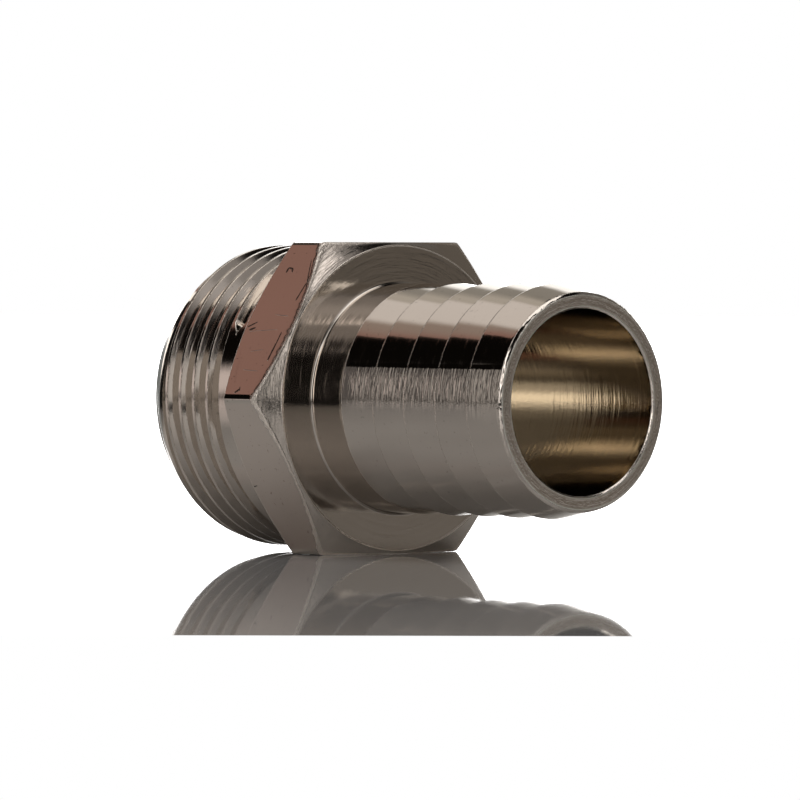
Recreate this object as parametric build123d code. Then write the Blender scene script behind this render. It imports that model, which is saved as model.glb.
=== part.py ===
from build123d import *
import math
import os

# Hose tail adaptor, turned and milled from one bar: parallel pipe thread, hexagon, barbed tail.
# Millimetres and degrees. The axis runs along X with the tail towards +X. The adaptor lies
# on one flat of its hexagon, and the origin is on that flat's plane, under the middle of
# the adaptor's length.

# Pipe thread: 55 degree form, right-handed, 11 turns to the inch
thread_diameter = 33.249
thread_pitch = 25.4 / 11
thread_flank_angle = 27.5
thread_depth = 1.479
thread_root_radius = 0.317
spigot_length = 16.0
spigot_lead_diameter = 29.4
spigot_lead_angle = 30.0
# The groove stops short of the hexagon; its end is placed by the middle of the groove there
groove_end_gap = 1.6
groove_end_angle = 149.0
groove_fade_angle = 12.0

# Hexagon
hex_across_flats = 34.0
hex_length = 8.2
hex_chamfer_inset = 0.25
hex_chamfer_angle = 32.5

# Hose tail: a plain neck, then ramps that fall towards the tip and step back up
tail_diameter = 25.1
neck_length = 5.0
root_fillet = 0.5
barb_count = 5
barb_pitch = 5.1
barb_depth = 0.7
barb_step_run = 0.15
crest_land = 0.25
lead_in_length = 4.6
tip_diameter = 23.5
tip_edge_break = 0.25

# Bore
bore_diameter = 20.0
bore_tip_chamfer = 0.2
bore_thread_chamfer = 0.5

# Places along the axis; the front face of the hexagon is at x = 0 until the last move
hex_back_x = -hex_length
spigot_end_x = hex_back_x - spigot_length
last_crest_x = neck_length + (barb_count - 1) * barb_pitch
tail_end_x = last_crest_x + lead_in_length
thread_radius = thread_diameter / 2
tail_radius = tail_diameter / 2
bore_radius = bore_diameter / 2


def turned(points):
    """Solid of revolution about X whose outline runs through (x, radius) points."""
    start_x = points[0][0]
    end_x = points[-1][0]
    corners = [(start_x, 0)] + points + [(end_x, 0)]
    outline = make_face(Plane.XZ * Polyline(*corners, close=True))
    return revolve(outline, Axis.X)


def screw_plane(x, angle):
    """Plane with its Z along the adaptor's axis and its X pointing out, at an angle from +Y."""
    turn = math.radians(angle)
    return Plane(origin=(x, 0, 0), x_dir=(0, math.cos(turn), math.sin(turn)), z_dir=(1, 0, 0))


def groove_section(depth):
    """Face of the thread groove in the plane of radius and axis, round at its root."""
    flank = math.radians(thread_flank_angle)
    bottom = thread_radius - depth
    root_half = thread_root_radius * math.cos(flank)
    root_top = bottom + thread_root_radius * (1 - math.sin(flank))
    # The mouth stands out of the cylinder by a third of what keeps one turn clear of the next
    crest_half = root_half + (thread_radius - root_top) * math.tan(flank)
    overrun = (thread_pitch / 2 - crest_half) / math.tan(flank) / 3
    mouth_radius = thread_radius + overrun
    mouth_half = crest_half + overrun * math.tan(flank)
    sides = Polyline(
        (root_top, -root_half),
        (mouth_radius, -mouth_half),
        (mouth_radius, mouth_half),
        (root_top, root_half),
    )
    root = ThreePointArc((root_top, root_half), (bottom, 0), (root_top, -root_half))
    return make_face(Plane.XZ * (Curve() + [sides, root]))


def swept_cutter(sections, path):
    """Groove cutter along a helix, with its walls facing outwards."""
    several = len(sections) > 1
    cutter = sweep(sections, path, multisection=several, is_frenet=True)
    if cutter.volume < 0:
        flipped = [-section.face() for section in sections]
        cutter = sweep(flipped, path, multisection=several, is_frenet=True)
    return cutter


def thread_groove(start_x):
    """Full-depth right-handed groove, from before start_x to its end by the hexagon."""
    end_x = hex_back_x - groove_end_gap
    turns = math.ceil((end_x - start_x) / thread_pitch)
    height = turns * thread_pitch
    start = screw_plane(end_x - height, groove_end_angle - 360 * turns)
    path = Helix(thread_pitch, height, thread_radius)
    return start * swept_cutter([groove_section(thread_depth)], path)


def groove_fade():
    """Short run-out in which the groove rises to the surface at its end by the hexagon."""
    height = thread_pitch * groove_fade_angle / 360
    turn = math.radians(groove_fade_angle)
    shallow_plane = Plane((0, 0, height), (math.cos(turn), math.sin(turn), 0), (0, 0, 1))
    shallow = shallow_plane * groove_section(thread_root_radius / 10)
    path = Helix(thread_pitch, height, thread_radius)
    cutter = swept_cutter([groove_section(thread_depth), shallow], path)
    return screw_plane(hex_back_x - groove_end_gap, groove_end_angle) * cutter


def make_spigot():
    """Threaded cylinder with a cone at its free end; its root lies inside the hexagon."""
    lead_radius = spigot_lead_diameter / 2
    lead_run = (thread_radius - lead_radius) / math.tan(math.radians(spigot_lead_angle))
    root_x = hex_back_x + hex_length / 2
    blank_start_x = spigot_end_x - 2 * thread_pitch
    blank = turned([(blank_start_x, thread_radius), (root_x, thread_radius)])
    threaded = blank - thread_groove(spigot_end_x - thread_pitch) - groove_fade()
    outline = turned([
        (spigot_end_x, lead_radius),
        (spigot_end_x + lead_run, thread_radius),
        (root_x, thread_radius),
    ])
    return threaded & outline


def make_hexagon():
    """Hexagonal prism with a flat up and a flat down, its corners turned off at both ends."""
    flats = Plane.YZ * RegularPolygon(hex_across_flats / 2, 6, major_radius=False)
    prism = extrude(flats, amount=-hex_length)
    face_radius = hex_across_flats / 2 - hex_chamfer_inset
    corner_radius = hex_across_flats / math.sqrt(3)
    chamfer_run = (corner_radius - face_radius) * math.tan(math.radians(hex_chamfer_angle))
    outline = turned([
        (hex_back_x, face_radius),
        (hex_back_x + chamfer_run, corner_radius),
        (-chamfer_run, corner_radius),
        (0, face_radius),
    ])
    return prism & outline


def make_tail():
    """Neck, ramps and steps of the hose tail; every crest keeps a narrow cylindrical land."""
    root_radius = tail_radius + root_fillet
    valley_radius = tail_radius - barb_depth
    tip_radius = tip_diameter / 2
    outline = [(root_fillet, tail_radius), (neck_length, tail_radius)]
    for index in range(1, barb_count):
        crest_x = neck_length + index * barb_pitch
        outline += [
            (crest_x - barb_step_run, valley_radius),
            (crest_x, tail_radius),
            (crest_x + crest_land, tail_radius),
        ]
    outline += [
        (tail_end_x - tip_edge_break, tip_radius),
        (tail_end_x, tip_radius - tip_edge_break),
        (tail_end_x, 0),
        (hex_back_x / 2, 0),
        (hex_back_x / 2, root_radius),
        (0, root_radius),
    ]
    fillet_arc = RadiusArc((0, root_radius), (root_fillet, tail_radius), root_fillet)
    section = make_face(Plane.XZ * (Curve() + [Polyline(*outline), fillet_arc]))
    return revolve(section, Axis.X)


def make_bore():
    """Straight through bore with a small chamfer at each mouth, as a cutter."""
    return turned([
        (spigot_end_x - bore_thread_chamfer, bore_radius + 2 * bore_thread_chamfer),
        (spigot_end_x + bore_thread_chamfer, bore_radius),
        (tail_end_x - bore_tip_chamfer, bore_radius),
        (tail_end_x + bore_tip_chamfer, bore_radius + 2 * bore_tip_chamfer),
    ])


def make_adaptor():
    """The whole adaptor as one solid, laid on a flat with the origin under its middle."""
    body = make_spigot() + make_hexagon() + make_tail() - make_bore()
    middle_x = (spigot_end_x + tail_end_x) / 2
    return Pos(-middle_x, 0, hex_across_flats / 2) * body


os.makedirs("parts", exist_ok=True)
adaptor = make_adaptor()
export_step(adaptor, "parts/hose_barb_tail.step")
print("volume", adaptor.volume, "solids", len(adaptor.solids()), "valid", adaptor.is_valid)
print("box", adaptor.bounding_box())
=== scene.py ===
"""Plated hose tail adaptor: parallel pipe thread, spanner hexagon and barbed tail.

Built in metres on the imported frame. The bore axis runs along X at the height of half the
hexagon; sizes along the axis are counted from the hexagon's front face, as "station".
"""

import math

import bpy
import numpy as np
from mathutils import Matrix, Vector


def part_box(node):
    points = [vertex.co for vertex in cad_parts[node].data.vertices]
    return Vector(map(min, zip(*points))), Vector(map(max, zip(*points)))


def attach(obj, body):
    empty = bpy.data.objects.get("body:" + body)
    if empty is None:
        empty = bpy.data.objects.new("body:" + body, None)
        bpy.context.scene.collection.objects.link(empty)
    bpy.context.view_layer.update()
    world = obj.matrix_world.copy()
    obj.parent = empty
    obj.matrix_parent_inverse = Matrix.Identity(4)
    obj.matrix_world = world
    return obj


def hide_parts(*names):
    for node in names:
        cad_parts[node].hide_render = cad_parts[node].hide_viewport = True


bl_info = {
    "name": "Hose tail adaptor",
    "version": (1, 0, 0),
    "blender": (4, 5, 0),
    "location": "View3D > Sidebar > Adaptor",
    "description": "Builds a plated hose tail adaptor, its finishes and its stage",
    "category": "Add Mesh",
}

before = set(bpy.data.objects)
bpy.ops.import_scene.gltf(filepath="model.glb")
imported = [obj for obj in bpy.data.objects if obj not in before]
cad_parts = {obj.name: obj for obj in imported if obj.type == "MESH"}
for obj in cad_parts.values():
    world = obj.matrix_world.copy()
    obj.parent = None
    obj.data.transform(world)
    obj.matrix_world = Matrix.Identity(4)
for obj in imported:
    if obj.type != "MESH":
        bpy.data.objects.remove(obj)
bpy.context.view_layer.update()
NODE = "hose_barb_tail"
LOW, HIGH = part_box(NODE)
AXIS_HEIGHT = (LOW.z + HIGH.z) / 2
MM = 0.001


# ---------------------------------------------------------------- settings


def length(name, description, default):
    """A length in metres, given in millimetres."""
    return bpy.props.FloatProperty(
        name=name, description=description, default=default * MM, unit="LENGTH", precision=6
    )


def tint(name, description, default):
    """A colour, linear red, green and blue."""
    return bpy.props.FloatVectorProperty(
        name=name, description=description, default=default, subtype="COLOR", size=3, min=0, max=1
    )


def share(name, description, default):
    """A plain number between nothing and one."""
    return bpy.props.FloatProperty(
        name=name, description=description, default=default, min=0.0, max=1.0, precision=4
    )


class SpigotSizes(bpy.types.PropertyGroup):
    """Sizes of the threaded spigot."""

    thread_diameter: length("Thread diameter", "Over the crests", 33.249)
    thread_pitch: length("Thread pitch", "From one turn to the next", 25.4 / 11)
    thread_depth: length("Thread depth", "From crest to root", 1.479)
    root_radius: length("Root radius", "Rounding at the bottom of the groove", 0.317)
    crest_radius: length("Crest radius", "Rounding of the crest's two edges", 0.05)
    spigot_length: length("Spigot length", "From the hexagon's back to the free end", 16.0)
    lead_diameter: length("Lead diameter", "Of the free end's flat ring", 29.4)
    groove_end_gap: length("Groove end gap", "From the hexagon to the middle of the last turn", 1.6)
    flank_angle: bpy.props.FloatProperty(
        name="Flank angle", description="Half the angle of the thread's form",
        default=math.radians(27.5), subtype="ANGLE",
    )
    lead_angle: bpy.props.FloatProperty(
        name="Lead angle", description="Slope of the cone at the free end",
        default=math.radians(30.0), subtype="ANGLE",
    )
    groove_end_angle: bpy.props.FloatProperty(
        name="Groove end angle", description="Where the groove stops, round from +Y",
        default=math.radians(150.0), subtype="ANGLE",
    )
    groove_fade_angle: bpy.props.FloatProperty(
        name="Groove fade angle", description="Over which the groove rises to the surface",
        default=math.radians(5.0), subtype="ANGLE",
    )


class HexagonSizes(bpy.types.PropertyGroup):
    """Sizes of the spanner hexagon."""

    across_flats: length("Across flats", "From one flat to the one opposite", 34.0)
    hex_length: length("Length", "Along the axis", 8.2)
    face_inset: length("Face inset", "Of the turned face inside the flats", 0.25)
    corner_roll: length("Corner roll", "Width of the soft strip beside each corner", 0.52)
    corner_radius: length("Corner radius", "Rounding of each corner", 0.08)
    burr_height: length("Burr height", "Of the ragged edge between chamfer and flat", 0.06)
    chamfer_angle: bpy.props.FloatProperty(
        name="Chamfer angle", description="From the face's plane",
        default=math.radians(32.5), subtype="ANGLE",
    )
    roll_angle: bpy.props.FloatProperty(
        name="Roll angle", description="By which the strip beside a corner leans off the flat",
        default=math.radians(7.0), subtype="ANGLE",
    )


class TailSizes(bpy.types.PropertyGroup):
    """Sizes of the hose tail and the bore."""

    tail_diameter: length("Tail diameter", "Of the neck and every crest", 25.1)
    neck_length: length("Neck length", "Plain length beside the hexagon", 5.0)
    root_fillet: length("Root fillet", "Where the neck meets the hexagon", 0.27)
    barb_pitch: length("Barb pitch", "From one crest to the next", 5.1)
    barb_depth: length("Barb depth", "Height of each step", 0.7)
    step_run: length("Step run", "Length of each step along the axis", 0.15)
    crest_land: length("Crest land", "Flat top of each crest", 0.14)
    crest_radius: length("Crest radius", "Rounding of each crest's edge", 0.05)
    lead_in_length: length("Lead-in length", "From the last crest to the tip", 4.6)
    tip_diameter: length("Tip diameter", "At the start of the edge break", 23.5)
    tip_edge_break: length("Tip edge break", "Bevel between the lead-in and the end", 0.32)
    bore_diameter: length("Bore diameter", "Straight through", 20.0)
    bore_tip_chamfer: length("Tip chamfer", "Of the bore at the tip", 0.2)
    bore_thread_chamfer: length("Thread chamfer", "Of the bore at the spigot's end", 0.5)
    barb_count: bpy.props.IntProperty(
        name="Ramps", description="Number of ramps, the lead-in among them", default=5, min=1
    )


class FinishSettings(bpy.types.PropertyGroup):
    """Colours and surface of the metal."""

    nickel: tint("Nickel", "Plating on everything but the bore", (0.66, 0.605, 0.55))
    brass: tint("Brass", "Metal that shows in the bore", (0.465, 0.405, 0.32))
    turned_roughness: share("Turned roughness", "Of the turned surfaces", 0.09)
    flat_roughness: share("Flat roughness", "Of the hexagon's flats", 0.06)
    bore_roughness: share("Bore roughness", "Of the bore", 0.11)


class StageSettings(bpy.types.PropertyGroup):
    """Floor, light and camera."""

    view_angle: bpy.props.FloatProperty(
        name="View angle", description="Of the line of sight, round from the bore axis",
        default=math.radians(40.495), subtype="ANGLE",
    )
    view_pitch: bpy.props.FloatProperty(
        name="View pitch", description="By which the camera looks down",
        default=math.radians(1.079), subtype="ANGLE",
    )
    view_roll: bpy.props.FloatProperty(
        name="View roll", description="Of the camera about its line of sight",
        default=math.radians(-0.125), subtype="ANGLE",
    )
    focal_length: bpy.props.FloatProperty(
        name="Focal length", description="For a sensor 36 mm wide, in millimetres", default=353.66
    )
    distance: length("Distance", "From the camera to the hexagon's front face", 857.934)
    aim_right: length("Aim right", "Of the face's middle, right of the view's", -0.0242)
    aim_up: length("Aim up", "Of the face's middle, above the view's", 0.2154)
    sheet_front: length("Sheet front", "From the middle to the sheet's front edge", 181.0)
    sheet_back: length("Sheet back", "From the middle to the sheet's back edge", 3200.0)
    sheet_width: length("Sheet width", "From side to side", 1720.0)
    floor_tone: tint("Floor tone", "Of the polished floor sheet", (0.60, 0.60, 0.60))


# ---------------------------------------------------------------- the shape


# Numbers of the finishes, in the order in which make_finishes gives them
TURNED, FLATS, BORE, CHAMFER, TAIL, RIM = range(6)


def column_angles():
    """Angles round the axis from +Y towards +Z, one turn, closer together beside the corners.

    Each sixth of a turn runs from corner to corner: offsets from the nearer corner grow from
    nothing in small steps, then evenly up to the middle of the flat.
    """
    near = np.array([0, 0.12, 0.3, 0.7, 1.3, 1.85, 2.0, 2.4])
    even = np.linspace(3.4, 30.0, 20)
    half = np.concatenate([near, even])
    sixth = np.concatenate([half, 60.0 - half[-2:0:-1]])
    turn = (sixth[None, :] + 60.0 * np.arange(6)[:, None]).ravel()
    return np.radians(turn)


def ripple(angles, seed, low, high):
    """Ragged curve round the axis: sines of whole numbers of waves with random phases, size 1."""
    random = np.random.default_rng(seed)
    waves = np.arange(low, high)
    phases = random.uniform(0, 2 * np.pi, len(waves))
    heights = random.normal(0, 1, len(waves))
    curve = (heights * np.sin(angles[:, None] * waves + phases)).sum(1)
    return curve / np.abs(curve).max()


def groove_radius(offset, sizes):
    """Radius of the thread at an offset along the axis from the middle of its groove.

    A circular root, straight flanks that leave it at the flank angle, and the crest's cylinder,
    joined by a soft minimum as wide as the crest's rounding.
    """
    flank = sizes.flank_angle
    root = sizes.root_radius
    crest = sizes.thread_diameter / 2
    bottom = crest - sizes.thread_depth
    half = root * math.cos(flank)
    reach = np.abs(offset)
    bowl = bottom + root - np.sqrt(np.maximum(root**2 - np.minimum(reach, half) ** 2, 0))
    slope = bottom + root * (1 - math.sin(flank)) + (reach - half) / math.tan(flank)
    groove = np.where(reach < half, bowl, slope)
    ease = sizes.crest_radius
    blend = np.clip(0.5 + 0.5 * (crest - groove) / ease, 0, 1)
    return crest + (groove - crest) * blend - ease * blend * (1 - blend) * 0.5


def thread_rows(angles, sizes, back):
    """Stations, radii and wear with its painted highlight, of the spigot's outside, as rows that
    climb with the screw.

    A row's station is the groove's middle at that angle plus the row's share of the pitch,
    held between the free end and the hexagon's back. The radius is the groove's, or the full
    crest past the groove's end, cut down by the lead cone. Past the groove's end angle its
    section shrinks evenly to nothing, over the fade angle. One turn on, a row is where the
    row one pitch further is at the start, so the seam joins rows a whole pitch apart. Wear
    falls off evenly from the groove's two edges. It roughens and nicks them, and it paints
    them paler as a painted highlight along the thread's edges. The last value is the rows to
    a pitch.
    """
    pitch = sizes.thread_pitch
    crest = sizes.thread_diameter / 2
    end = back - sizes.spigot_length
    groove_edge = 0.965 * MM
    wear_and_highlight_reach = 0.07 * MM
    least_section = 0.02
    # Across one groove in millimetres, closer together at its root and its edges, and then
    # the middle of the crest that follows
    shares = np.array([
        -1.03, -0.985, -0.95, -0.91, -0.74, -0.51, -0.281, -0.19, -0.1, 0.0,
        0.1, 0.19, 0.281, 0.51, 0.74, 0.91, 0.95, 0.985, 1.03, pitch / MM / 2,
    ]) * MM
    turns = math.ceil((back - end) / pitch) + 2
    turn = np.repeat(np.arange(turns), len(shares))[:, None] - turns + 1
    offsets = np.tile(shares, turns)[:, None]

    middle = back - sizes.groove_end_gap + pitch * (angles - sizes.groove_end_angle) / (2 * np.pi)
    fading = (angles - sizes.groove_end_angle) / sizes.groove_fade_angle
    left_over = np.clip(1 - fading, least_section, 1)
    closing = np.where((turn == 0) & (fading > 0), left_over, 1.0)
    station = np.clip(middle + turn * pitch + offsets * closing, end, back)

    place = (station - middle) / pitch
    past = fading > 0
    index = np.minimum(np.round(place), np.where(past, -1, 0))
    radius = groove_radius((place - index) * pitch, sizes)
    last_turn = crest - (crest - groove_radius(place * pitch / left_over, sizes)) * left_over
    radius = np.where(past & (fading < 1), np.minimum(radius, last_turn), radius)
    cone = sizes.lead_diameter / 2 + (station - end) * math.tan(sizes.lead_angle)

    # Wear along the groove's edges, which also paints them paler: a painted highlight
    from_edge = np.abs(np.abs((place - index) * pitch) - groove_edge)
    wear_and_highlight = np.where(radius < cone, np.clip(1 - from_edge / wear_and_highlight_reach, 0, 1), 0)
    return station, np.minimum(radius, cone), wear_and_highlight, len(shares)


def hexagon_radius(angles, sizes):
    """Distance from the axis to the hexagon's side at each angle.

    The least of the flat's plane and of the planes of the strips beside its two corners,
    each in polar form: distance of the plane over the cosine of the angle from its normal.
    A soft minimum between the two strips that meet at a corner rounds it.
    """
    half = sizes.across_flats / 2
    sixth = np.pi / 3
    local = np.mod(angles, sixth) - sixth / 2
    flat = half / np.cos(local)
    reach = half * math.tan(sixth / 2) - sizes.corner_roll
    lean = sizes.roll_angle
    strip = half * math.cos(lean) + reach * math.sin(lean)
    near = strip / np.cos(np.abs(local) - lean)
    other = strip / np.cos(sixth - np.abs(local) - lean)
    side = np.minimum(flat, near)
    ease = sizes.corner_radius
    blend = np.clip(0.5 + 0.5 * (other - side) / ease, 0, 1)
    return other + (side - other) * blend - ease * blend * (1 - blend) * 0.5


def hexagon_rows(angles, sizes, back, collar):
    """Rows over the hexagon from its back to its front: back ring, chamfer, sides, chamfer.

    A chamfer's station falls away from the face by its radius beyond the face's, times the
    tangent of its angle, so it ends where it meets the sides, further from the face at a
    corner. A ripple round the axis makes that edge ragged and raises a burr along it, beside
    the flats on the tail's left. Wear grows towards the edge from both sides. Besides
    roughening the edge, it paints the edge paler, a painted highlight along the chamfers' edges
    and the face's edge. Puts out stations, radii, wear with its painted highlight and the
    finish of each row.
    """
    side = hexagon_radius(angles, sizes)
    face = sizes.across_flats / 2 - sizes.face_inset
    run = (side - face) * math.tan(sizes.chamfer_angle)
    on_chamfer = np.array([0.05, 0.25, 0.5, 0.75, 0.93, 1.0])
    on_side = np.array([0.012, 0.1, 0.25, 0.4, 0.55, 0.7, 0.85, 0.955, 0.988])
    near = np.abs(np.degrees(angles) - 180) < 59
    rag_back = 0.10 * MM * np.clip(ripple(angles, 5, 30, 150), 0, None)
    rag_front = 0.42 * MM * np.clip(ripple(angles, 11, 30, 160), 0, None)
    burr = sizes.burr_height * np.clip(ripple(angles, 23, 60, 180), 0, 1) * near
    lip = sizes.burr_height * ripple(angles, 71, 50, 160) * near
    stations, radii, wear_and_highlight, finish = [], [], [], []

    def add(station, radius, worn_and_highlit, tone=CHAMFER):
        stations.append(np.broadcast_to(station, angles.shape))
        radii.append(np.broadcast_to(radius, angles.shape))
        wear_and_highlight.append(np.full(angles.shape, float(worn_and_highlit)))
        finish.append(tone)

    # Wear on a chamfer, growing towards its outer edge, which the finishes also paint paler as a
    # painted highlight
    def chamfer_wear_and_highlight(amount):
        return np.clip((amount - 0.6) * 3.2, 0, 1)

    add(back, collar, 0)
    add(back, face - 0.02 * MM, 0)
    for amount in on_chamfer:
        add(back + amount * run, face + amount * (side - face), chamfer_wear_and_highlight(amount))
    side_back = back + run + rag_back
    side_front = -run - rag_front - 0.05 * MM
    for amount in on_side:
        station = side_back + amount * (side_front - side_back)
        tone = FLATS if amount < on_side[-1] else CHAMFER
        add(station, side, np.clip((amount - 0.92) * 15, 0, 1), tone)
    add(-run - rag_front * 0.5 - 0.01 * MM, side + lip, 1)
    for amount in on_chamfer[::-1]:
        raised = burr if amount > 0.9 else 0.0
        station = raised * 0.5 - amount * run
        add(station, face + amount * (side - face) + raised * 0.2, chamfer_wear_and_highlight(amount))
    # Full wear on the face's edge: roughness and a painted highlight
    add(0.0, face - 0.06 * MM, 1)
    return np.array(stations), np.array(radii), np.array(wear_and_highlight), np.array(finish)


def eased(corners, steps=3):
    """Rows of a turned profile whose corners are rounded.

    Each corner is (station, radius, rounding). A rounded one becomes an arc that touches both
    sides, with a point close before and after it so that the long faces keep their shading.
    The arc's points are marked as worn, which roughens them and paints them paler as a
    painted highlight along the rounded edges.
    """
    points, worn_and_highlit = [], []
    corners = [np.array(corner, float) for corner in corners]
    for index, corner in enumerate(corners):
        place, ease = corner[:2], corner[2]
        if ease <= 0 or index in (0, len(corners) - 1):
            points.append(place)
            worn_and_highlit.append(0.0)
            continue
        before = corners[index - 1][:2] - place
        after = corners[index + 1][:2] - place
        room = min(np.linalg.norm(before), np.linalg.norm(after))
        before = before / np.linalg.norm(before)
        after = after / np.linalg.norm(after)
        half = math.acos(np.clip(before @ after, -1, 1)) / 2
        cut = min(ease / math.tan(half), 0.45 * room)
        guard = min(cut + 0.04 * MM, 0.48 * room)
        share = np.linspace(0, 1, steps + 1)[:, None]
        start, end = place + before * cut, place + after * cut
        arc = (1 - share) ** 2 * start + 2 * share * (1 - share) * place + share**2 * end
        points += [place + before * guard, *arc, place + after * guard]
        # Full wear on the arc: roughness and a painted highlight
        worn_and_highlit += [0.0] + [1.0] * (steps + 1) + [0.0]
    return np.array(points), np.array(worn_and_highlit)


def last_crest(sizes):
    """Station of the last crest: the neck, and a pitch for every ramp before the lead-in."""
    return sizes.neck_length + (sizes.barb_count - 1) * sizes.barb_pitch


def tip_station(sizes):
    """Station of the tip: the last crest and the lead-in after it."""
    return last_crest(sizes) + sizes.lead_in_length


def tail_corners(sizes, face_radius):
    """Profile of the outside from the hexagon's face to the bore's edge at the tip."""
    crest = sizes.tail_diameter / 2
    valley = crest - sizes.barb_depth
    fillet = sizes.root_fillet
    soft = sizes.crest_radius
    last = last_crest(sizes)
    end = tip_station(sizes)
    tip = sizes.tip_diameter / 2
    inner = sizes.bore_diameter / 2
    turn = np.linspace(0, np.pi / 2, 6)
    corners = [(0, face_radius - 0.3 * MM, 0), (0, (face_radius + crest) / 2, 0)]
    corners += [(0, crest + fillet + 0.08 * MM, 0)]
    corners += [
        (fillet - fillet * math.cos(angle), crest + fillet - fillet * math.sin(angle), 0)
        for angle in turn
    ]
    corners += [(fillet + 0.05 * MM, crest, 0), (sizes.neck_length / 2, crest, 0)]
    corners += [(sizes.neck_length, crest, 0.4 * MM)]
    for index in range(1, sizes.barb_count):
        place = sizes.neck_length + index * sizes.barb_pitch
        corners += [
            (place - sizes.step_run, valley, 0.05 * MM),
            (place, crest, soft),
            (place + sizes.crest_land, crest, 0.1 * MM),
        ]
    corners += [
        ((last + end) / 2, (crest + tip) / 2, 0),
        (end - sizes.tip_edge_break - 0.3 * MM, tip + 0.3 * MM * (crest - tip) / (end - last), 0),
        (end - sizes.tip_edge_break, tip, 0.06 * MM),
        (end, tip - sizes.tip_edge_break, 0.08 * MM),
        (end, (tip + inner) / 2, 0),
        (end, inner + sizes.bore_tip_chamfer, 0.03 * MM),
        (end - sizes.bore_tip_chamfer, inner, 0.03 * MM),
        (end - 1.0 * MM, inner, 0),
    ]
    return corners


def tail_rows(angles, sizes, face_radius):
    """Rows over the hexagon's face, the tail and its tip, with chips along the tip's edges.

    Every row is a ring of the turned profile. At the tip's edges, ripples round the axis push
    it back along the axis and into the wall. Puts out stations, radii, wear with its painted
    highlight and the finish of each row.
    """
    profile, wear_and_highlight = eased(tail_corners(sizes, face_radius))
    station, radius = profile[:, 0], profile[:, 1]
    tip = tip_station(sizes)
    inner = sizes.bore_diameter / 2
    ring_middle = (sizes.tip_diameter + sizes.bore_diameter) / 4

    fillet_top = sizes.tail_diameter / 2 + sizes.root_fillet + 0.01 * MM
    in_fillet = (station <= sizes.root_fillet) & (radius < fillet_top)
    wear_and_highlight = np.where(in_fillet, 0.35, wear_and_highlight)
    # The tip ring's edges get wear that also paints them paler: a painted highlight on the rim's
    # edges
    ring_edge = (station > tip - 0.01 * MM) & (np.abs(radius - ring_middle) > 0.1 * MM)
    wear_and_highlight = np.where(ring_edge, np.maximum(wear_and_highlight, 0.8), wear_and_highlight)

    chipped = (station > tip - sizes.tip_edge_break - 0.1 * MM) & (wear_and_highlight > 0.9)
    chip = ripple(angles, 31, 40, 178) * chipped[:, None]
    notch = np.clip(ripple(angles, 47, 12, 150), 0, 1) * chipped[:, None]
    toward = np.where(radius > ring_middle, -1.0, 1.0)[:, None]
    stations = station[:, None] - (notch * 0.035 + np.abs(chip) * 0.010) * MM
    radii = radius[:, None] + toward * (notch * 0.02 + np.clip(chip, 0, 1) * 0.012) * MM

    front = stations.max(1)
    finish = np.full(len(stations), TURNED)
    outside = radii.min(1) > inner + 0.3 * MM
    finish[(front > 0) & (front < tip - 0.01 * MM) & outside] = TAIL
    finish[front > tip - 0.6 * sizes.tip_edge_break] = RIM
    finish[-2:] = BORE
    return stations, radii, wear_and_highlight, finish


def stitched(total, count, thread_first, thread_last, pitch_rows):
    """Four-sided faces between neighbouring rows, closed round the axis and from end to start.

    At the seam, each row of the thread meets the row a whole pitch on, held at the thread's
    last row, and that row itself leads on to the plain ring after it.
    """
    column = np.arange(count)
    beside = (column + 1) % count
    here = np.broadcast_to(np.arange(total)[:, None], (total, count))
    there = (here + 1) % total
    shift = np.zeros((total, count), int)
    shift[thread_first:thread_last + 1, -1] = pitch_rows
    here_beside = np.where(shift > 0, np.minimum(here + shift, thread_last), here)
    there_beside = np.where(shift > 0, np.minimum(there + shift, thread_last), there)
    there_beside = np.where(here == thread_last, there, there_beside)
    return np.stack([
        here * count + column,
        here_beside * count + beside,
        there_beside * count + beside,
        there * count + column,
    ], -1).reshape(-1, 4)


def build_surface(spigot, hexagon, tail):
    """Points, faces, finish of each face and wear with its painted highlight of each point, for
    the whole adaptor.

    Rows round the axis follow one another: free end, thread, hexagon, face, tail, tip, bore,
    and the last joins the first. Every row has the same columns, so the surface is one grid
    closed both ways. Only the thread's rows meet a whole pitch on at the seam.
    """
    angles = column_angles()
    count = len(angles)
    back = -hexagon.hex_length
    end = back - spigot.spigot_length
    tip = tip_station(tail)
    face_radius = hexagon.across_flats / 2 - hexagon.face_inset
    inner = tail.bore_diameter / 2
    break_in = tail.bore_thread_chamfer
    lead = spigot.lead_diameter / 2
    blocks = []

    def add(stations, radii, wear_and_highlight, finish):
        rows = len(stations)
        spread = [
            np.broadcast_to(np.reshape(part, (rows, -1)), (rows, count))
            for part in (stations, radii, wear_and_highlight)
        ]
        blocks.append((*spread, np.broadcast_to(finish, rows)))

    rim, rim_wear_and_highlight = eased([
        (end + break_in, inner, 0),
        (end, inner + break_in, 0.05 * MM),
        (end, (inner + lead) / 2, 0),
        (end, lead - 0.15 * MM, 0),
    ])
    add(rim[:, 0], rim[:, 1], rim_wear_and_highlight, TURNED)
    station, radius, wear_and_highlight, pitch_rows = thread_rows(angles, spigot, back)
    add(station, radius, wear_and_highlight, TURNED)
    thread_first, thread_last = len(rim), len(rim) + len(station) - 1
    add(*hexagon_rows(angles, hexagon, back, spigot.thread_diameter / 2))
    add(*tail_rows(angles, tail, face_radius))
    bore = np.linspace(tip - 1.5 * MM, end + break_in + 0.1 * MM, 12)
    add(bore, np.full(12, inner), np.zeros(12), BORE)

    stations, radii, wear_and_highlight, finish = (np.concatenate(parts) for parts in zip(*blocks))
    x = stations - (end + tip) / 2
    y = radii * np.cos(angles)
    z = radii * np.sin(angles) + AXIS_HEIGHT
    points = np.stack([x, y, z], -1).reshape(-1, 3)
    faces = stitched(len(stations), count, thread_first, thread_last, pitch_rows)
    return points, faces, np.repeat(finish, count), wear_and_highlight.reshape(-1)


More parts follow.
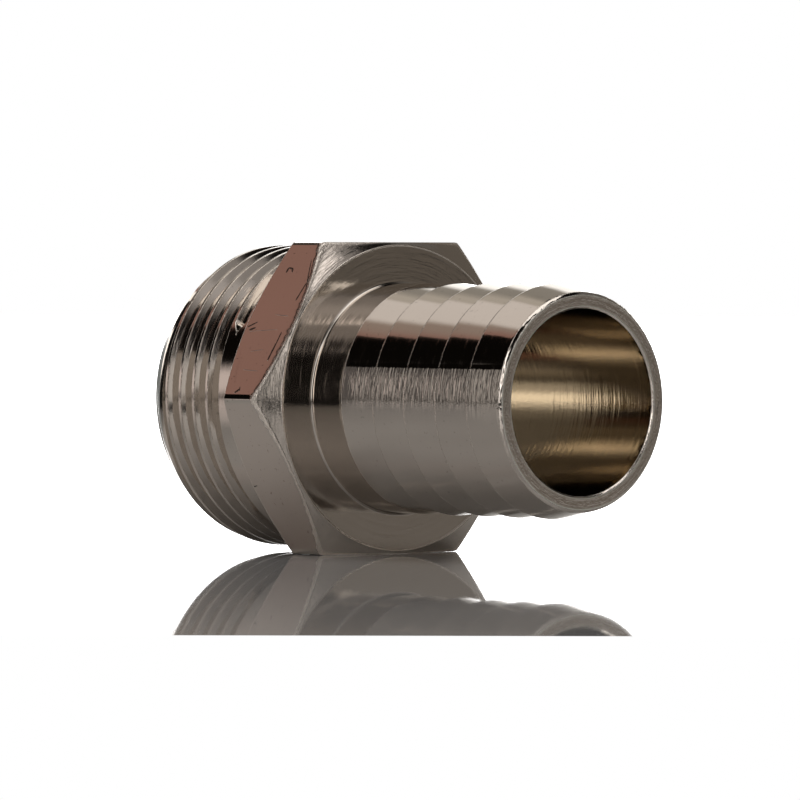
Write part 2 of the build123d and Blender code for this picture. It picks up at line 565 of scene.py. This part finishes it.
def merged(points, faces, finish, wear_and_highlight):
    """Joins points that coincide and leaves out the faces that vanish with them.

    A face with one side of no length becomes a triangle; with more, it goes.
    """
    keys = np.round(points / 2e-8).astype(np.int64)
    _, kept, index = np.unique(keys, axis=0, return_index=True, return_inverse=True)
    faces = index.reshape(-1)[faces]
    same = faces == np.roll(faces, -1, axis=1)
    whole = same.sum(1) == 0
    single = same.sum(1) == 1
    triangles = faces[single][~same[single]].reshape(-1, 3)
    polygons = faces[whole].tolist() + triangles.tolist()
    tones = np.concatenate([finish[whole], finish[single]])
    return points[kept], polygons, tones, wear_and_highlight[kept]


def surface_object(name, points, polygons, tones, wear_and_highlight, materials):
    """Mesh object of a closed surface, its faces outwards and its hard edges kept hard."""
    mesh = bpy.data.meshes.new(name)
    mesh.from_pydata(points.tolist(), [], polygons)
    for material in materials:
        mesh.materials.append(material)
    mesh.polygons.foreach_set("material_index", tones.astype(np.int32))
    mesh.polygons.foreach_set("use_smooth", np.ones(len(polygons), bool))
    # Wear and painted highlight of each point: the finishes roughen worn edges and paint them paler
    attribute = mesh.attributes.new("edge_wear_and_highlight", "FLOAT", "POINT")
    attribute.data.foreach_set("value", wear_and_highlight.astype(np.float32))
    mesh.validate()
    mesh.update()
    mesh.calc_loop_triangles()
    corners = np.empty(len(mesh.loop_triangles) * 3, np.int32)
    mesh.loop_triangles.foreach_get("vertices", corners)
    a, b, c = points[corners.reshape(-1, 3)].transpose(1, 0, 2)
    if np.einsum("ij,ij->i", a, np.cross(b, c)).sum() < 0:
        mesh.flip_normals()
    mesh.set_sharp_from_angle(angle=math.radians(34))
    thing = bpy.data.objects.new(name, mesh)
    bpy.context.scene.collection.objects.link(thing)
    return thing


# ---------------------------------------------------------------- finishes


class Nodes:
    """Short way to add and join nodes in one tree."""

    def __init__(self, tree):
        self.tree = tree

    def add(self, kind, **values):
        node = self.tree.nodes.new(kind)
        for key, value in values.items():
            setattr(node, key, value)
        return node

    def join(self, source, target):
        self.tree.links.new(source, target)

    def feed(self, socket, value):
        """Joins another node's output to a socket, or sets the socket to a plain value."""
        if isinstance(value, bpy.types.NodeSocket):
            self.join(value, socket)
        else:
            socket.default_value = value

    def math(self, operation, a, b=0.0, clamp=False):
        node = self.add("ShaderNodeMath", operation=operation, use_clamp=clamp)
        for socket, value in zip(node.inputs, (a, b)):
            self.feed(socket, value)
        return node.outputs[0]

    def remap(self, value, low, high, to_low=0.0, to_high=1.0):
        """Eased step from one number to another as a value goes from low to high."""
        node = self.add("ShaderNodeMapRange")
        node.interpolation_type = "SMOOTHSTEP"
        for name, item in zip(("Value", "From Min", "From Max", "To Min", "To Max"),
                              (value, low, high, to_low, to_high)):
            self.feed(node.inputs[name], item)
        return node.outputs[0]

    def vector(self, x, y, z):
        node = self.add("ShaderNodeCombineXYZ")
        for socket, value in zip(node.inputs, (x, y, z)):
            self.feed(socket, value)
        return node.outputs[0]

    def noise(self, vector, scale, detail, roughness):
        node = self.add("ShaderNodeTexNoise")
        self.join(vector, node.inputs["Vector"])
        for name, item in (("Scale", scale), ("Detail", detail), ("Roughness", roughness)):
            node.inputs[name].default_value = item
        return node.outputs["Fac"]

    def mix(self, factor, a, b):
        node = self.add("ShaderNodeMix", data_type="RGBA")
        self.feed(node.inputs[0], factor)
        self.feed(node.inputs[6], a)
        self.feed(node.inputs[7], b)
        return node.outputs[2]


def group_tree(name, inputs, outputs):
    """Empty node group with its sockets: (name, kind, default) in, (name, kind) out."""
    tree = bpy.data.node_groups.new(name, "ShaderNodeTree")
    for title, kind, default in inputs:
        socket = tree.interface.new_socket(title, in_out="INPUT", socket_type=kind)
        if default is not None:
            socket.default_value = default
    for title, kind in outputs:
        tree.interface.new_socket(title, in_out="OUTPUT", socket_type=kind)
    kit = Nodes(tree)
    return kit, kit.add("NodeGroupInput"), kit.add("NodeGroupOutput")


def turning_marks_group():
    """Fine grooves that run round the axis: noise stretched round it and squeezed across.

    Across the grooves it reads station minus radius, which changes on cylinders, cones and
    faces alike; round the axis it reads the direction from the axis. An even grain lies over
    them. Puts out a height in metres and a mask of the deeper scores.
    """
    kit, start, end = group_tree(
        "turning_marks",
        [("Spacing", "NodeSocketFloat", 0.0004), ("Run", "NodeSocketFloat", 5.0),
         ("Depth", "NodeSocketFloat", 0.000004), ("Grain Size", "NodeSocketFloat", 0.00015),
         ("Grain Depth", "NodeSocketFloat", 0.0)],
        [("Height", "NodeSocketFloat"), ("Score", "NodeSocketFloat")],
    )
    place = kit.add("ShaderNodeTexCoord").outputs["Object"]
    split = kit.add("ShaderNodeSeparateXYZ")
    kit.join(place, split.inputs[0])
    up = kit.math("SUBTRACT", split.outputs["Z"], AXIS_HEIGHT)
    square = kit.math("ADD", kit.math("MULTIPLY", split.outputs["Y"], split.outputs["Y"]),
                      kit.math("MULTIPLY", up, up))
    radius = kit.math("SQRT", square)
    across = kit.math("DIVIDE", kit.math("SUBTRACT", split.outputs["X"], radius),
                      start.outputs["Spacing"])
    side = kit.math("MULTIPLY", kit.math("DIVIDE", split.outputs["Y"], radius),
                    start.outputs["Run"])
    rise = kit.math("MULTIPLY", kit.math("DIVIDE", up, radius), start.outputs["Run"])
    marks = kit.noise(kit.vector(across, side, rise), 1.0, 2.0, 0.60)
    scale = kit.math("DIVIDE", 1.0, start.outputs["Grain Size"])
    scaled = kit.add("ShaderNodeVectorMath", operation="SCALE")
    kit.join(place, scaled.inputs[0])
    kit.join(scale, scaled.inputs["Scale"])
    grain = kit.noise(scaled.outputs[0], 1.0, 1.0, 0.5)
    height = kit.math("ADD", kit.math("MULTIPLY", marks, start.outputs["Depth"]),
                      kit.math("MULTIPLY", grain, start.outputs["Grain Depth"]))
    kit.join(height, end.inputs["Height"])
    kit.join(kit.remap(marks, 0.60, 0.72), end.inputs["Score"])
    return kit.tree


def cut_group():
    """Mask of a thin cut along a straight line, with a wavering edge.

    Distance from the nearest point between start and finish, plus a little noise, against the
    width, which narrows towards both ends.
    """
    kit, start, end = group_tree(
        "cut",
        [("Start", "NodeSocketVector", (0.0, 0.0, 0.0)),
         ("Finish", "NodeSocketVector", (0.0, 0.0, 0.0)),
         ("Width", "NodeSocketFloat", 0.0001), ("Waver", "NodeSocketFloat", 0.0001)],
        [("Mask", "NodeSocketFloat")],
    )
    place = kit.add("ShaderNodeTexCoord").outputs["Object"]

    def vector_math(operation, a, b, output=0):
        node = kit.add("ShaderNodeVectorMath", operation=operation)
        kit.feed(node.inputs[0], a)
        kit.feed(node.inputs["Scale" if operation == "SCALE" else 1], b)
        return node.outputs[output]

    away = vector_math("SUBTRACT", place, start.outputs["Start"])
    line = vector_math("SUBTRACT", start.outputs["Finish"], start.outputs["Start"])
    share = kit.math("DIVIDE", vector_math("DOT_PRODUCT", away, line, "Value"),
                     vector_math("DOT_PRODUCT", line, line, "Value"), clamp=True)
    nearest = vector_math("SCALE", line, share)
    gap = vector_math("DISTANCE", away, nearest, "Value")
    waver = kit.math("MULTIPLY", kit.math("SUBTRACT", kit.noise(place, 2200.0, 2.0, 0.6), 0.5),
                     start.outputs["Waver"])
    gap = kit.math("ADD", gap, waver)
    other = kit.math("SUBTRACT", 1.0, share)
    narrow = kit.math("MULTIPLY", kit.math("MULTIPLY", share, other), 4.0)
    width = kit.math("MULTIPLY", start.outputs["Width"], kit.math("POWER", narrow, 0.35))
    kit.join(kit.remap(gap, kit.math("MULTIPLY", width, 0.4), width, 1.0, 0.0), end.inputs["Mask"])
    return kit.tree


def plating_group():
    """Tone of the plating: slow cloudy change and small dark and pale specks."""
    kit, start, end = group_tree(
        "plating",
        [("Colour", "NodeSocketColor", (0.6, 0.6, 0.6, 1.0)), ("Cloud", "NodeSocketFloat", 0.08),
         ("Specks", "NodeSocketFloat", 0.5)],
        [("Colour", "NodeSocketColor"), ("Speck", "NodeSocketFloat")],
    )
    place = kit.add("ShaderNodeTexCoord").outputs["Object"]
    cloud = kit.noise(place, 140.0, 3.0, 0.55)
    tone = kit.math("ADD", 1.0, kit.math("MULTIPLY", kit.math("SUBTRACT", cloud, 0.5),
                                         start.outputs["Cloud"]))
    specks = kit.remap(kit.noise(place, 2600.0, 1.0, 0.5), 0.70, 0.76)
    speck = kit.math("MULTIPLY", specks, start.outputs["Specks"])
    scaled = kit.add("ShaderNodeVectorMath", operation="SCALE")
    kit.join(start.outputs["Colour"], scaled.inputs[0])
    kit.join(kit.math("MULTIPLY", tone, kit.math("SUBTRACT", 1.0, speck)), scaled.inputs["Scale"])
    kit.join(scaled.outputs[0], end.inputs["Colour"])
    kit.join(speck, end.inputs["Speck"])
    return kit.tree


# Cuts in the metal, in millimetres in the adaptor's frame: (start, finish, width, waver).
# The finishes paint them nearly black, a painted shade in their hollows. Those on the flat
# facing up and left, then one on the flat under it
FLAT_CUTS = (
    ((-8.2, -11.75, 30.65), (-8.1, -11.40, 31.25), 0.14, 0.20),
    ((-8.2, -11.45, 31.2), (-7.4, -11.50, 31.1), 0.12, 0.15),
    ((-7.5, -11.45, 31.2), (-7.2, -11.75, 30.7), 0.15, 0.20),
    ((-4.9, -10.9, 32.1), (-3.98, -12.31, 29.67), 0.08, 0.12),
    ((-3.98, -12.31, 29.67), (-4.51, -13.5, 27.61), 0.11, 0.20),
    ((-3.95, -12.1, 30.0), (-3.7, -12.35, 29.6), 0.22, 0.30),
    ((-4.5, -15.4, 24.3), (-4.57, -16.3, 22.76), 0.10, 0.15),
    ((-4.57, -16.1, 23.1), (-4.75, -17.2, 21.2), 0.16, 0.22),
    ((-10.65, -15.15, 24.75), (-9.3, -14.83, 25.31), 0.11, 0.18),
    ((-10.2, -15.35, 24.4), (-9.2, -15.2, 24.7), 0.13, 0.22),
    ((-7.9, -19.25, 17.7), (-7.2, -19.0, 18.1), 0.16, 0.15),
    ((-7.4, -18.85, 18.35), (-7.2, -19.1, 17.9), 0.10, 0.10),
    ((-6.9, -14.36, 26.13), (-4.6, -14.44, 25.99), 0.024, 0.06),
    ((-10.2, -15.43, 24.28), (-5.4, -15.28, 24.54), 0.026, 0.06),
    ((-8.3, -16.66, 22.15), (-6.2, -16.53, 22.37), 0.034, 0.07),
    ((-8.1, -17.80, 20.17), (-5.6, -17.86, 20.06), 0.030, 0.07),
    ((-10.9, -14.05, 7.34), (-10.2, -14.13, 7.5), 0.09, 0.12),
)
TAIL_CUTS = (
    ((17.4, -12.0, 19.7), (18.15, -11.75, 20.75), 0.16, 0.25),
    ((22.3, -11.3, 21.85), (22.1, -11.06, 22.4), 0.10, 0.15),
    ((22.2, -11.25, 21.9), (23.1, -11.21, 22.0), 0.08, 0.15),
    ((7.6, -12.2, 15.1), (8.3, -11.9, 13.8), 0.05, 0.08),
    ((9.6, -11.8, 13.6), (11.4, -11.7, 13.15), 0.05, 0.10),
    ((12.85, -12.3, 16.2), (12.5, -12.05, 14.2), 0.07, 0.12),
    ((17.45, -12.35, 16.9), (17.5, -12.25, 15.7), 0.14, 0.20),
    ((17.3, -12.1, 14.7), (17.6, -11.86, 13.6), 0.07, 0.12),
    ((22.0, -12.05, 14.5), (22.9, -12.25, 15.6), 0.08, 0.15),
    ((22.9, -7.2, 7.05), (23.1, -6.2, 6.4), 0.10, 0.18),
)


def marks_node(kit, groups, marks):
    """The turning marks' group in a material: (spacing, run, depth, grain size, grain depth)."""
    node = kit.add("ShaderNodeGroup", node_tree=groups["marks"])
    names = ("Spacing", "Run", "Depth", "Grain Size", "Grain Depth")
    for name, value in zip(names, marks):
        node.inputs[name].default_value = value
    return node


def scuffed_band(kit, place):
    """Mask of a band along the tail's left side, from a little below the axis to above it."""
    split = kit.add("ShaderNodeSeparateXYZ")
    kit.join(place, split.inputs[0])
    level = kit.math("SUBTRACT", split.outputs["Z"], AXIS_HEIGHT)
    band = kit.math("MULTIPLY", kit.remap(level, -0.0020, 0.0002),
                    kit.remap(level, 0.0035, 0.0041, 1.0, 0.0))
    band = kit.math("MULTIPLY", band, kit.remap(split.outputs["Y"], -0.008, 0.0, 1.0, 0.0))
    return kit.math("MULTIPLY", band, kit.remap(split.outputs["X"], 0.0005, 0.0045))


def metal(name, colour, roughness, groups, marks, cloud=0.08, specks=0.2, cuts=(),
          cut_shade_tone=0.02, scuff=0.0):
    """Plated or bare metal with turning marks in its relief and its roughness.

    Marks are those of marks_node, in metres. Worn edges are rougher, with small nicks, and
    their base colour is painted paler, a painted highlight along the edges. Cuts are rough and
    sunk, and painted dark, a painted shade in their hollows. A scuff depth adds short scratches
    to a band along the side.
    """
    material = bpy.data.materials.new(name)
    material.use_nodes = True
    kit = Nodes(material.node_tree)
    shader = material.node_tree.nodes["Principled BSDF"]
    shader.inputs["Metallic"].default_value = 1.0
    place = kit.add("ShaderNodeTexCoord").outputs["Object"]
    worn_and_highlit = kit.add("ShaderNodeAttribute", attribute_name="edge_wear_and_highlight").outputs["Fac"]

    tone = kit.add("ShaderNodeGroup", node_tree=groups["plating"])
    tone.inputs["Colour"].default_value = (*colour, 1.0)
    tone.inputs["Cloud"].default_value = cloud
    tone.inputs["Specks"].default_value = specks
    # Painted highlight: edges with edge wear get a base colour 1.45 times paler, which stands in
    # for the bright lines that light draws along them
    pale = (*[min(1.0, value * 1.45) for value in colour], 1.0)
    shade = kit.mix(kit.remap(worn_and_highlit, 0.6, 0.95), tone.outputs["Colour"], pale)

    mark = marks_node(kit, groups, marks)
    rough = kit.math("ADD", roughness, kit.math("MULTIPLY", mark.outputs["Score"], 0.08))
    rough = kit.math("ADD", rough, kit.math("MULTIPLY", worn_and_highlit, 0.16))
    nick_depth = kit.math("MULTIPLY", kit.remap(worn_and_highlit, 0.35, 0.9), 0.000070)
    nicks = kit.math("MULTIPLY", kit.noise(place, 5200.0, 1.0, 0.5), nick_depth)
    height = kit.math("ADD", mark.outputs["Height"], nicks)
    if scuff:
        rubbed = marks_node(kit, groups, (0.00040, 3.0, scuff, 0.00024, scuff * 0.12))
        rubbed_height = kit.math("MULTIPLY", rubbed.outputs["Height"], scuffed_band(kit, place))
        height = kit.math("ADD", height, rubbed_height)

    if cuts:
        depth = 0.0
        for first, last, width, waver in cuts:
            cut = kit.add("ShaderNodeGroup", node_tree=groups["cut"])
            cut.inputs["Start"].default_value = [value * MM for value in first]
            cut.inputs["Finish"].default_value = [value * MM for value in last]
            cut.inputs["Width"].default_value = width * MM
            cut.inputs["Waver"].default_value = waver * MM
            depth = kit.math("MAXIMUM", depth, cut.outputs["Mask"])
        # Painted shade: the cuts' colour is the plating darkened by the cut shade tone, which
        # stands in for the shade in their hollows
        dark = (*[value * cut_shade_tone for value in colour], 1.0)
        shade = kit.mix(kit.math("MULTIPLY", depth, 0.8), shade, dark)
        rough = kit.math("ADD", rough, kit.math("MULTIPLY", depth, 0.25))
        height = kit.math("SUBTRACT", height, kit.math("MULTIPLY", depth, 0.000008))

    bump = kit.add("ShaderNodeBump")
    bump.inputs["Distance"].default_value = 1.0
    bump.inputs["Strength"].default_value = 1.0
    kit.join(height, bump.inputs["Height"])
    kit.join(bump.outputs["Normal"], shader.inputs["Normal"])
    kit.join(shade, shader.inputs["Base Color"])
    kit.join(rough, shader.inputs["Roughness"])
    return material


def make_finishes(finish):
    """The adaptor's finishes, in the order of TURNED, FLATS, BORE, CHAMFER, TAIL and RIM."""
    groups = {"marks": turning_marks_group(), "plating": plating_group(), "cut": cut_group()}
    nickel, brass = tuple(finish.nickel), tuple(finish.brass)
    turned = finish.turned_roughness
    return [
        metal("nickel_turned", nickel, turned, groups,
              (0.00045, 3.0, 0.0000070, 0.00020, 0.000002)),
        metal("nickel_flats", nickel, finish.flat_roughness, groups,
              (0.0020, 2.0, 0.0000008, 0.00050, 0.0000005),
              cloud=0.06, specks=0.35, cuts=FLAT_CUTS, cut_shade_tone=0.16),
        metal("brass_bore", brass, finish.bore_roughness, groups,
              (0.00050, 1.5, 0.0000210, 0.00030, 0.000003)),
        metal("nickel_chamfer", nickel, turned + 0.05, groups,
              (0.00038, 6.0, 0.0000430, 0.00030, 0.000007)),
        metal("nickel_tail", nickel, turned - 0.02, groups,
              (0.00030, 5.0, 0.0000025, 0.00020, 0.000001),
              cuts=TAIL_CUTS, cut_shade_tone=0.2, scuff=0.000070),
        # Painted highlight: the rim's copy of the nickel is 1.15 times paler, which stands in for
        # the bright light along the tip's edges
        metal("nickel_rim", [value * 1.15 for value in nickel], turned + 0.10, groups,
              (0.00028, 5.0, 0.0000450, 0.00026, 0.000026)),
    ]


# ---------------------------------------------------------------- light


# Cards round the stage, seen from the adaptor, each laid over the ones before it: (name, left
# and right edge round the stage, low and high edge, rise of both per degree to the right, edge
# softness, colour, strength). Straight ahead of the camera is 0, its right 90. In degrees.
CARDS = (
    ("overhead", -182, 182, 64, 95, 0.0, 4.0, (1.0, 0.98, 0.95), 1.6),
    ("behind_high", -14, 14, 22, 48, 0.0, 9.0, (1.0, 0.93, 0.82), 0.31),
    ("behind_far", -52, -28, 32, 60, 0.0, 8.0, (1.0, 0.92, 0.82), 0.20),
    ("behind_left", -32, -11, 34, 62, 0.0, 8.0, (1.0, 0.92, 0.80), 0.52),
    ("backdrop_fade", -11, 26, -90, 28, 0.0, 8.0, (1.0, 0.99, 0.96), 1.35),
    ("behind_low", -60, -8, -5, 14, 0.0, 5.0, (0.95, 1.0, 0.98), 0.20),
    ("backdrop", -12, 26, -90, 13, 0.0, 7.0, (1.0, 1.0, 1.0), 3.7),
    ("brown_card", -92, -55, 40.8, 104, -1.25, 1.2, (1.0, 0.565, 0.460), 0.31),
    ("brown_top", -76, -34, 46.0, 95, 0.0, 9.0, (1.0, 0.79, 0.67), 0.34),
    ("pale_card", -72, -22, 47.5, 66, -0.33, 5.0, (1.0, 0.93, 0.87), 0.76),
    ("left_dim", -104, -85, -2, 27.1, -0.45, 1.2, (1.0, 0.92, 0.88), 0.11),
    ("left_strip", -86.5, -60, -2, 11.5, -0.45, 8.0, (1.0, 0.87, 0.82), 0.72),
    ("left_far", -124, -103, -2, 29, 0.0, 2.0, (1.0, 0.94, 0.88), 0.42),
    ("rear_right", 34, 82, 10, 50, 0.0, 6.0, (1.0, 0.95, 0.88), 0.15),
    ("right_wall", 26, 112, -4, 33, 0.0, 5.0, (1.0, 0.88, 0.75), 0.135),
    ("halo", 107, 162, 31, 52, 0.0, 7.0, (1.0, 0.94, 0.90), 0.30),
    ("chamfer_card", 151, 168, -20, 15, 0.0, 4.0, (1.0, 0.95, 0.90), 0.58),
    ("key_side", 108, 138, 18.5, 36, 0.8, 5.0, (1.0, 0.95, 0.92), 0.48),
    ("key_box", 153.5, 167, 14, 31.2, -0.45, 2.0, (1.0, 0.95, 0.92), 1.0),
    ("key_high", 119, 149, 43.9, 56, -0.32, 1.6, (1.0, 0.95, 0.92), 1.5),
    ("camera_side", -176, -160, -8, 42, 0.0, 2.5, (1.0, 0.96, 0.93), 2.0),
    ("front_left", -160, -128, 34, 62, 0.0, 5.0, (1.0, 0.98, 0.95), 1.0),
    ("under_horizon", -190, 190, -95, -0.95, 0.0, 0.35, (1.0, 1.0, 1.0), 0.004),
)
ROOM_DARK = (0.003, 0.0025, 0.002)


def level_axes(stage):
    """Level unit vectors along the line of sight and to its right, turned by the view angle."""
    turn = stage.view_angle
    ahead = np.array([-math.cos(turn), math.sin(turn), 0.0])
    right = np.array([math.sin(turn), math.cos(turn), 0.0])
    return ahead, right


def window_group():
    """One where a value lies between two limits, nothing elsewhere, with soft edges."""
    kit, start, end = group_tree(
        "soft_window",
        [("Value", "NodeSocketFloat", 0.0), ("Low", "NodeSocketFloat", 0.0),
         ("High", "NodeSocketFloat", 1.0), ("Edge", "NodeSocketFloat", 1.0)],
        [("Mask", "NodeSocketFloat")],
    )
    half = kit.math("MULTIPLY", start.outputs["Edge"], 0.5)
    low, high, value = start.outputs["Low"], start.outputs["High"], start.outputs["Value"]
    rise = kit.remap(value, kit.math("SUBTRACT", low, half), kit.math("ADD", low, half))
    fall = kit.remap(value, kit.math("SUBTRACT", high, half), kit.math("ADD", high, half),
                     1.0, 0.0)
    kit.join(kit.math("MULTIPLY", rise, fall), end.inputs["Mask"])
    return kit.tree


def light_room(stage):
    """World light: cards in a dark room, by direction. The camera itself sees plain white."""
    world = bpy.data.worlds.new("studio")
    world.use_nodes = True
    bpy.context.scene.world = world
    kit = Nodes(world.node_tree)
    world.node_tree.nodes.clear()
    window = window_group()
    way = kit.add("ShaderNodeTexCoord").outputs["Generated"]
    ahead, right = level_axes(stage)

    def along(direction):
        node = kit.add("ShaderNodeVectorMath", operation="DOT_PRODUCT")
        kit.join(way, node.inputs[0])
        node.inputs[1].default_value = direction
        return node.outputs["Value"]

    def degrees(value):
        return kit.math("MULTIPLY", value, 180 / math.pi)

    round_angle = degrees(kit.math("ARCTAN2", along(right), along(ahead)))
    height = degrees(kit.math("ARCSINE", along((0.0, 0.0, 1.0))))

    def masked(value, low, high, edge):
        node = kit.add("ShaderNodeGroup", node_tree=window)
        kit.join(value, node.inputs["Value"])
        node.inputs["Low"].default_value = low
        node.inputs["High"].default_value = high
        node.inputs["Edge"].default_value = edge
        return node.outputs["Mask"]

    colour = (*ROOM_DARK, 1.0)
    for _, left, right_edge, low, high, rise, edge, hue, strength in CARDS:
        from_middle = kit.math("SUBTRACT", round_angle, (left + right_edge) / 2)
        lean = kit.math("MULTIPLY", from_middle, rise)
        level = kit.math("SUBTRACT", height, lean)
        mask = kit.math("MULTIPLY", masked(round_angle, left, right_edge, edge),
                        masked(level, low, high, edge))
        colour = kit.mix(mask, colour, (*[value * strength for value in hue], 1.0))

    seen = kit.add("ShaderNodeLightPath").outputs["Is Camera Ray"]
    colour = kit.mix(seen, colour, (1.0, 1.0, 1.0, 1.0))
    shade = kit.add("ShaderNodeBackground")
    kit.join(colour, shade.inputs["Color"])
    output = kit.add("ShaderNodeOutputWorld")
    kit.join(shade.outputs[0], output.inputs["Surface"])


def floor_sheet(stage):
    """Polished pale sheet just under the adaptor, its front edge square to the line of sight.

    Corners are the front edge's middle or a point far behind, half a width to either side.
    """
    ahead, right = level_axes(stage)
    across = right * stage.sheet_width / 2
    front = -ahead * stage.sheet_front
    behind = ahead * stage.sheet_back
    corners = np.array([front - across, front + across, behind + across, behind - across])
    corners[:, 2] = -0.02 * MM
    mesh = bpy.data.meshes.new("floor_sheet")
    mesh.from_pydata(corners.tolist(), [], [(0, 1, 2, 3)])
    material = bpy.data.materials.new("polished_floor")
    material.use_nodes = True
    shader = material.node_tree.nodes["Principled BSDF"]
    shader.inputs["Base Color"].default_value = (*stage.floor_tone, 1.0)
    shader.inputs["Roughness"].default_value = 0.02
    shader.inputs["IOR"].default_value = 1.5
    mesh.materials.append(material)
    thing = bpy.data.objects.new("floor_sheet", mesh)
    bpy.context.scene.collection.objects.link(thing)
    return thing


def aim_camera(stage):
    """Camera on the line of sight, its axes worked out from the view's turn, pitch and roll."""
    pitch, roll = stage.view_pitch, stage.view_roll
    level_ahead, level = level_axes(stage)
    upright = np.array([0.0, 0.0, 1.0])
    ahead = level_ahead * math.cos(pitch) - upright * math.sin(pitch)
    above = level_ahead * math.sin(pitch) + upright * math.cos(pitch)
    tip = tip_station(bpy.context.scene.adaptor_tail)
    face = np.array([HIGH.x - tip, 0.0, AXIS_HEIGHT])
    place = face - (stage.aim_right * level + stage.aim_up * above + stage.distance * ahead)
    right = level * math.cos(roll) - above * math.sin(roll)
    up = level * math.sin(roll) + above * math.cos(roll)
    camera = bpy.data.cameras.new("camera")
    camera.lens = stage.focal_length
    camera.sensor_width = 36.0
    camera.sensor_fit = "HORIZONTAL"
    camera.clip_start = 0.01
    camera.clip_end = 20.0
    thing = bpy.data.objects.new("camera", camera)
    bpy.context.scene.collection.objects.link(thing)
    thing.matrix_world = Matrix([
        (right[0], up[0], -ahead[0], place[0]),
        (right[1], up[1], -ahead[1], place[1]),
        (right[2], up[2], -ahead[2], place[2]),
        (0, 0, 0, 1),
    ])
    bpy.context.scene.camera = thing


# ---------------------------------------------------------------- operators


class MESH_OT_adaptor_body(bpy.types.Operator):
    """Build the adaptor's metal: thread, hexagon, tail and bore in one closed surface"""

    bl_idname = "mesh.adaptor_body"
    bl_label = "Adaptor body"

    def execute(self, context):
        scene = context.scene
        surface = build_surface(scene.adaptor_spigot, scene.adaptor_hexagon, scene.adaptor_tail)
        finishes = make_finishes(scene.adaptor_finish)
        body = surface_object("adaptor_body", *merged(*surface), finishes)
        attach(body, "root")
        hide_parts(NODE)
        return {"FINISHED"}


class SCENE_OT_adaptor_stage(bpy.types.Operator):
    """Build the floor, the light and the camera"""

    bl_idname = "scene.adaptor_stage"
    bl_label = "Adaptor stage"

    def execute(self, context):
        stage = context.scene.adaptor_stage
        context.scene.view_settings.view_transform = "Standard"
        floor_sheet(stage)
        light_room(stage)
        aim_camera(stage)
        return {"FINISHED"}


class VIEW3D_PT_adaptor(bpy.types.Panel):
    """Sizes, finishes and stage of the adaptor"""

    bl_label = "Hose tail adaptor"
    bl_space_type = "VIEW_3D"
    bl_region_type = "UI"
    bl_category = "Adaptor"

    def draw(self, context):
        layout = self.layout
        for name in GROUPS:
            group = getattr(context.scene, name)
            box = layout.box()
            for key in group.__annotations__:
                box.prop(group, key)
        layout.operator(MESH_OT_adaptor_body.bl_idname)
        layout.operator(SCENE_OT_adaptor_stage.bl_idname)


GROUPS = {
    "adaptor_spigot": SpigotSizes,
    "adaptor_hexagon": HexagonSizes,
    "adaptor_tail": TailSizes,
    "adaptor_finish": FinishSettings,
    "adaptor_stage": StageSettings,
}
CLASSES = (*GROUPS.values(), MESH_OT_adaptor_body, SCENE_OT_adaptor_stage, VIEW3D_PT_adaptor)


def register():
    for item in CLASSES:
        bpy.utils.register_class(item)
    for name, group in GROUPS.items():
        setattr(bpy.types.Scene, name, bpy.props.PointerProperty(type=group))


def unregister():
    for name in GROUPS:
        delattr(bpy.types.Scene, name)
    for item in reversed(CLASSES):
        bpy.utils.unregister_class(item)


def main():
    register()
    bpy.ops.mesh.adaptor_body()
    bpy.ops.scene.adaptor_stage()


if __name__ == "__main__":
    main()
